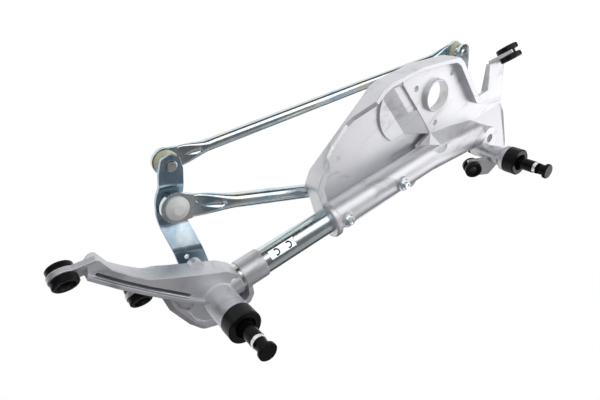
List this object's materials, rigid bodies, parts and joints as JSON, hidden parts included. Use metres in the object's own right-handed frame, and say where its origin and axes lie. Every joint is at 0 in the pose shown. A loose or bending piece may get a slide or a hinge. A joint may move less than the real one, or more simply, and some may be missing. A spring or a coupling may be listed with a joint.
{
  "type": "wiper linkage",
  "caption": "Tandem wiper linkage: cast pivot brackets on a frame tube carry cranked levers joined by a long link, with a drive rod for a motor seated in a tray.",
  "frame": {"origin": "centre of the motor seat's collar, in the plane of its front face", "axes": "+X from the left pivot towards the right pivot, along the frame tube; +Y from the frame tube towards the motor seat's far rim; +Z along the wiper shafts, outwards"},
  "size_m": [0.5841, 0.1958, 0.1616],
  "materials": {
    "cast_aluminium": "satin as-cast, fine grain",
    "zinc_plated_steel": "bright zinc plated, faint blue tint",
    "bolt_steel": "bright zinc plated",
    "bright_steel": "ground steel",
    "bronze_bush": "sintered bronze",
    "black_rubber": "smooth moulded rubber with a soft sheen",
    "black_plastic": "glossy moulded plastic",
    "natural_plastic": "natural acetal",
    "white_plastic": "white acetal"
  },
  "bodies": {
    "frame": {"left_bracket": "cast_aluminium", "motor_bracket": "cast_aluminium", "frame_tube": "zinc_plated_steel", "tube_bolts": "bolt_steel", "left_upper_bush": "bronze_bush", "left_lower_bush": "bronze_bush", "right_upper_bush": "bronze_bush", "right_lower_bush": "bronze_bush", "outer_left_grommet": "black_rubber", "inner_left_grommet": "black_rubber", "upper_right_grommet": "black_rubber", "lower_right_grommet": "black_rubber", "outer_left_sleeve": "bright_steel", "inner_left_sleeve": "bright_steel", "upper_right_sleeve": "bright_steel", "lower_right_sleeve": "bright_steel", "left_seal_cup": "black_rubber", "right_seal_cup": "black_rubber"},
    "left_lever": {"left_lever": "zinc_plated_steel", "left_shaft": "bright_steel", "left_shaft_sleeve": "black_plastic", "left_cap": "black_plastic", "left_circlip": "bright_steel", "left_upper_washer": "bright_steel", "left_lower_washer": "bright_steel", "middle_ball_stud": "bright_steel", "left_end_ball_stud": "bright_steel"},
    "right_lever": {"right_lever": "zinc_plated_steel", "right_shaft": "bright_steel", "right_shaft_sleeve": "black_plastic", "right_cap": "black_plastic", "right_circlip": "bright_steel", "right_upper_washer": "bright_steel", "right_lower_washer": "black_plastic", "right_end_ball_stud": "bright_steel"},
    "connecting_link": {"connecting_link": "zinc_plated_steel", "left_link_socket": "natural_plastic", "right_link_socket": "natural_plastic"},
    "drive_rod": {"drive_rod": "zinc_plated_steel", "drive_rod_socket": "white_plastic", "motor_end_socket": "white_plastic"}
  },
  "joints": [
    {"name": "left_pivot", "type": "hinge", "parent": "frame", "child": "left_lever", "pos_m": [-0.33, -0.07, 0.001], "axis": [0, 0, 1], "range_deg": [-45, 45]},
    {"name": "right_pivot", "type": "hinge", "parent": "frame", "child": "right_lever", "pos_m": [0.071, -0.105, 0.001], "axis": [0, 0, 1], "range_deg": [-45, 45]},
    {"name": "link_joint", "type": "hinge", "parent": "left_lever", "child": "connecting_link", "pos_m": [-0.312, 0.051, -0.052], "axis": [0, 0, 1], "range_deg": [-45, 45]},
    {"name": "drive_joint", "type": "hinge", "parent": "left_lever", "child": "drive_rod", "pos_m": [-0.324, 0.015, -0.03], "axis": [0, 0, 1], "range_deg": [-25, 40]}
  ],
  "couplings": [
    {"joint": "right_pivot", "follows": "left_pivot", "ratio": 1},
    {"joint": "link_joint", "follows": "left_pivot", "ratio": -1}
  ]
}
